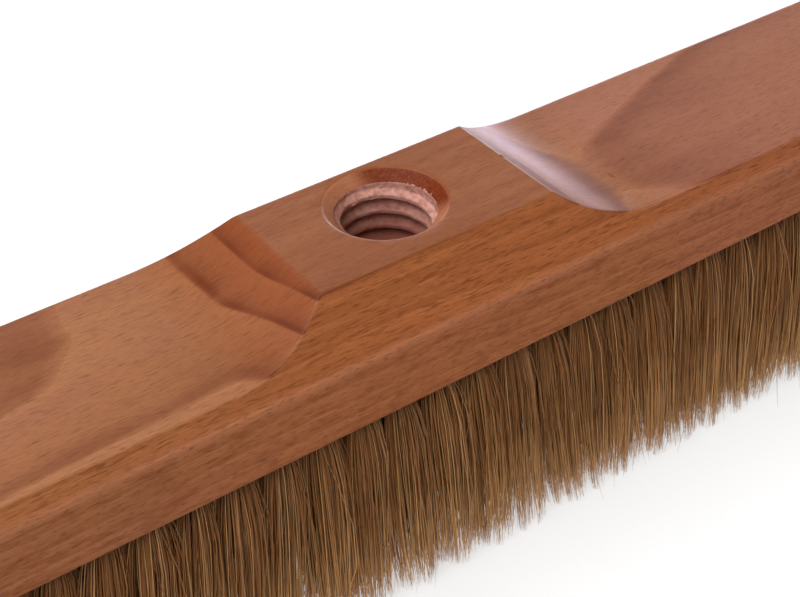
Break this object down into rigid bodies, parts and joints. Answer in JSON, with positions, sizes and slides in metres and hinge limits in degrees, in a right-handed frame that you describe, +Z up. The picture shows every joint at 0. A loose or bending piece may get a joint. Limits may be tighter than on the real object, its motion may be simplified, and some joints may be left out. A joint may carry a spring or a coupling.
{
  "type": "broom head",
  "caption": "Broom head: bevelled beech stock with a raised boss and a screwed handle hole, filled with flared rows of natural bristle tufts.",
  "frame": {"origin": "middle of the trimmed bristle tips, on the floor under the middle of the stock", "axes": "+X along the stock, +Z up through the handle hole, front long side towards -Y"},
  "size_m": [0.4, 0.0596, 0.076],
  "materials": {
    "beech": "clear satin lacquer",
    "bristle": "natural light-brown hair bristle",
    "staple_wire": "drawn flat wire"
  },
  "bodies": {
    "root": {"stock": "beech", "tufts_front_row": "bristle", "tufts_front_middle_row": "bristle", "tufts_middle_row": "bristle", "tufts_back_middle_row": "bristle", "tufts_back_row": "bristle", "staples_front_row": "staple_wire", "staples_front_middle_row": "staple_wire", "staples_middle_row": "staple_wire", "staples_back_middle_row": "staple_wire", "staples_back_row": "staple_wire"}
  },
  "joints": []
}
